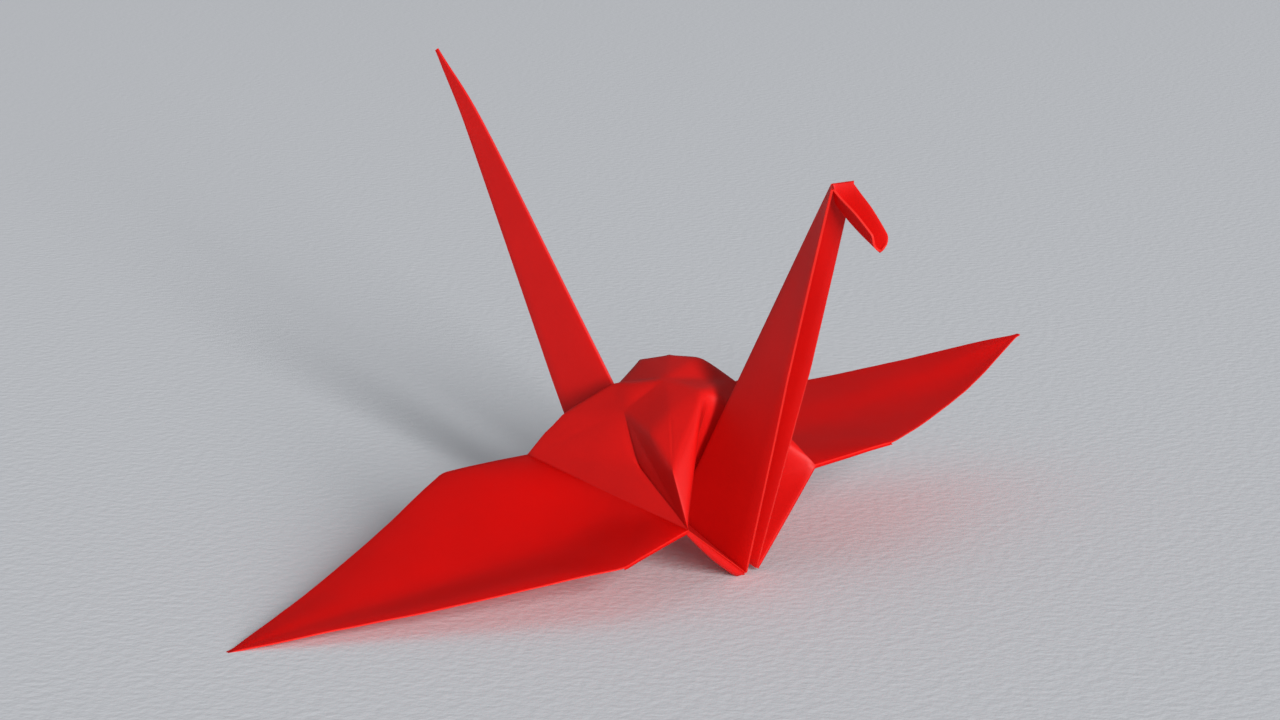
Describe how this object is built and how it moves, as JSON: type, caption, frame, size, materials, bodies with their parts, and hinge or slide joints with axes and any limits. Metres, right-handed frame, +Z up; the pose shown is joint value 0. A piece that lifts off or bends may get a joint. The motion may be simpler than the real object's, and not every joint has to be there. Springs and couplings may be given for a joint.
{
  "type": "origami crane",
  "caption": "Crane folded from one square sheet of paper, with a puffed body, upright neck and tail, and flat spread wings; it leans on one wing tip.",
  "frame": {"origin": "centre of the bounding box, at its bottom, on the surface that the crane rests on", "axes": "+X from tail to beak, +Y to the crane's left wing tip, +Z up; it leans about 9 degrees to its right, onto the tip of the right wing, as it lies at rest"},
  "size_m": [0.085, 0.1438, 0.0676],
  "materials": {
    "paper": "matte"
  },
  "bodies": {
    "root": {"paper_crane": "paper"}
  },
  "joints": []
}
